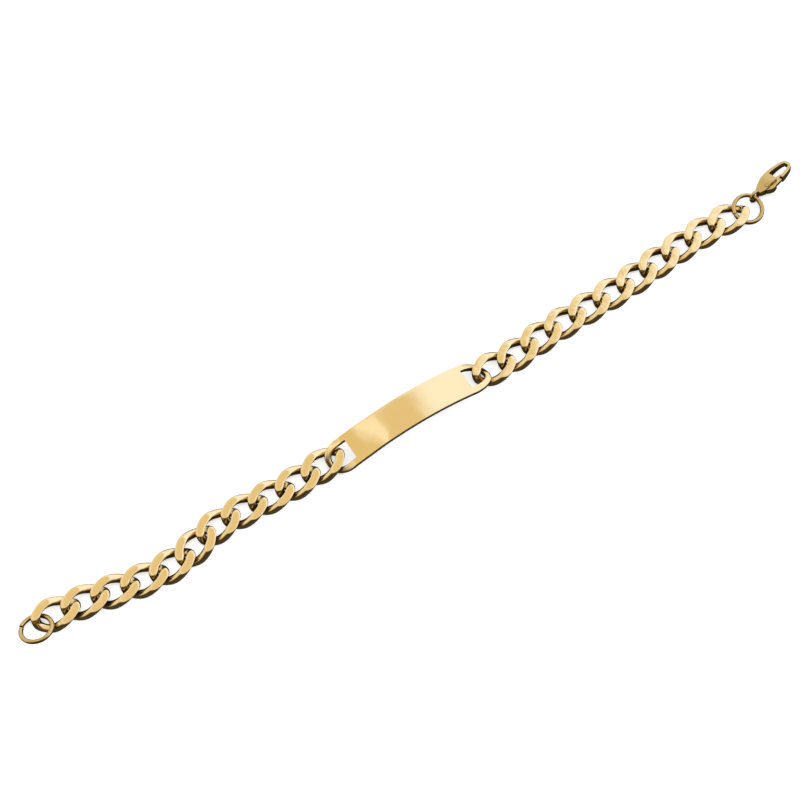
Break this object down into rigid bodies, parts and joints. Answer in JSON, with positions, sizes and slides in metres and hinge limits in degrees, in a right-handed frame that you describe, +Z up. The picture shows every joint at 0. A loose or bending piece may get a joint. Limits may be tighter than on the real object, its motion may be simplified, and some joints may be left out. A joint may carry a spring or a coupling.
{
  "type": "id bracelet",
  "caption": "Curb chain identity bracelet with a bare arched name plate, two jump rings and a lobster claw clasp, laid out open in one line.",
  "frame": {"origin": "middle of the bounding box, on the surface that the bracelet lies on", "axes": "+X along the bracelet from the free ring to the clasp, +Z up, out of the plate's bare face"},
  "size_m": [0.2074, 0.0121, 0.0063],
  "materials": {
    "link_gold": "ground and satin polished gold-coloured plating",
    "plate_gold": "mirror polished gold-coloured plating",
    "ring_gold": "polished gold-coloured plating",
    "clasp_gold": "cast and polished gold-coloured plating"
  },
  "bodies": {
    "bracelet": {"id_plate": "plate_gold", "left_link_01": "link_gold", "left_link_02": "link_gold", "left_link_03": "link_gold", "left_link_04": "link_gold", "left_link_05": "link_gold", "left_link_06": "link_gold", "left_link_07": "link_gold", "left_link_08": "link_gold", "left_link_09": "link_gold", "left_link_10": "link_gold", "left_link_11": "link_gold", "right_link_01": "link_gold", "right_link_02": "link_gold", "right_link_03": "link_gold", "right_link_04": "link_gold", "right_link_05": "link_gold", "right_link_06": "link_gold", "right_link_07": "link_gold", "right_link_08": "link_gold", "right_link_09": "link_gold", "right_link_10": "link_gold", "right_link_11": "link_gold", "catch_ring": "ring_gold", "clasp_ring": "ring_gold", "clasp_body": "clasp_gold", "clasp_rivet": "clasp_gold"},
    "lever": {"clasp_lever": "clasp_gold"}
  },
  "joints": [
    {"name": "lever_hinge", "type": "hinge", "parent": "bracelet", "child": "lever", "pos_m": [0.09529, 0.0009, 0.0019], "axis": [-0.0836, 0.264, 0.9609], "range_deg": [0, 18], "stiffness_Nm_per_rad": 0.002, "springref_deg": -20.05}
  ]
}
